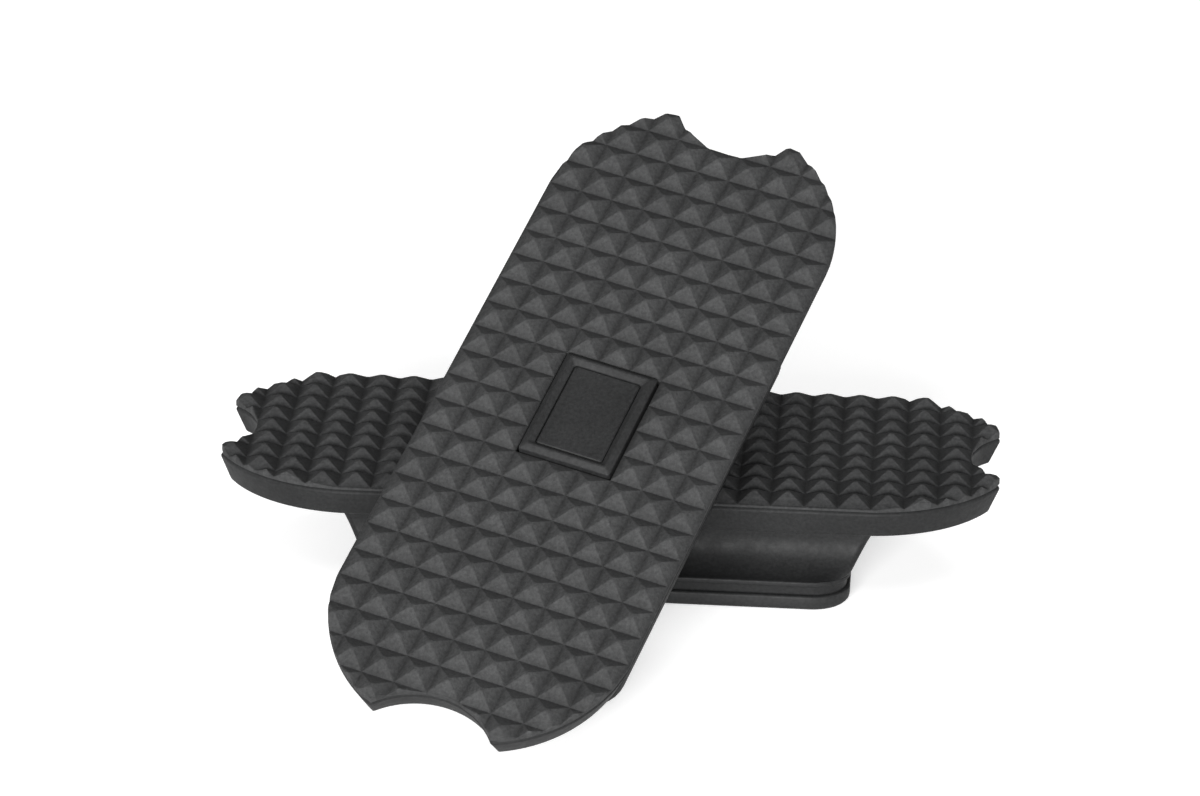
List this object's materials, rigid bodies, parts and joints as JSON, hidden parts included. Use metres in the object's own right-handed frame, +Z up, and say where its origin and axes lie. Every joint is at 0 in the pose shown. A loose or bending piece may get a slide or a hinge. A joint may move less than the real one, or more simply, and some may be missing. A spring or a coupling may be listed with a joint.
{
  "type": "stirrup tread pair",
  "caption": "Pair of studded rubber stirrup treads with notched round ends, one lying flat and one leaning across it.",
  "frame": {"origin": "centre of the flat tread's sole, on the ground", "axes": "+X along the flat tread, +Z up, -Y towards the foot of the leaning tread"},
  "size_m": [0.1214, 0.1086, 0.0672],
  "materials": {
    "stud_rubber": "moulded, matt with slightly worn stud tips",
    "body_rubber": "moulded, matt",
    "badge_rubber": "smooth moulded, satin",
    "grip_rubber": "smooth moulded, satin",
    "sole_rubber": "smooth moulded, satin"
  },
  "bodies": {
    "lower_tread": {"lower_stud_sheet": "stud_rubber", "lower_pad_body": "body_rubber", "lower_badge_frame": "badge_rubber", "lower_badge_plate": "badge_rubber", "lower_grip_neck": "grip_rubber", "lower_sole": "sole_rubber"},
    "upper_tread": {"upper_stud_sheet": "stud_rubber", "upper_pad_body": "body_rubber", "upper_badge_frame": "badge_rubber", "upper_badge_plate": "badge_rubber", "upper_grip_neck": "grip_rubber", "upper_sole": "sole_rubber"}
  },
  "joints": [
    {"name": "upper_tread_lift", "type": "slide", "parent": "lower_tread", "child": "upper_tread", "axis": [0, 0, 1], "range_m": [0, 0.06]}
  ]
}
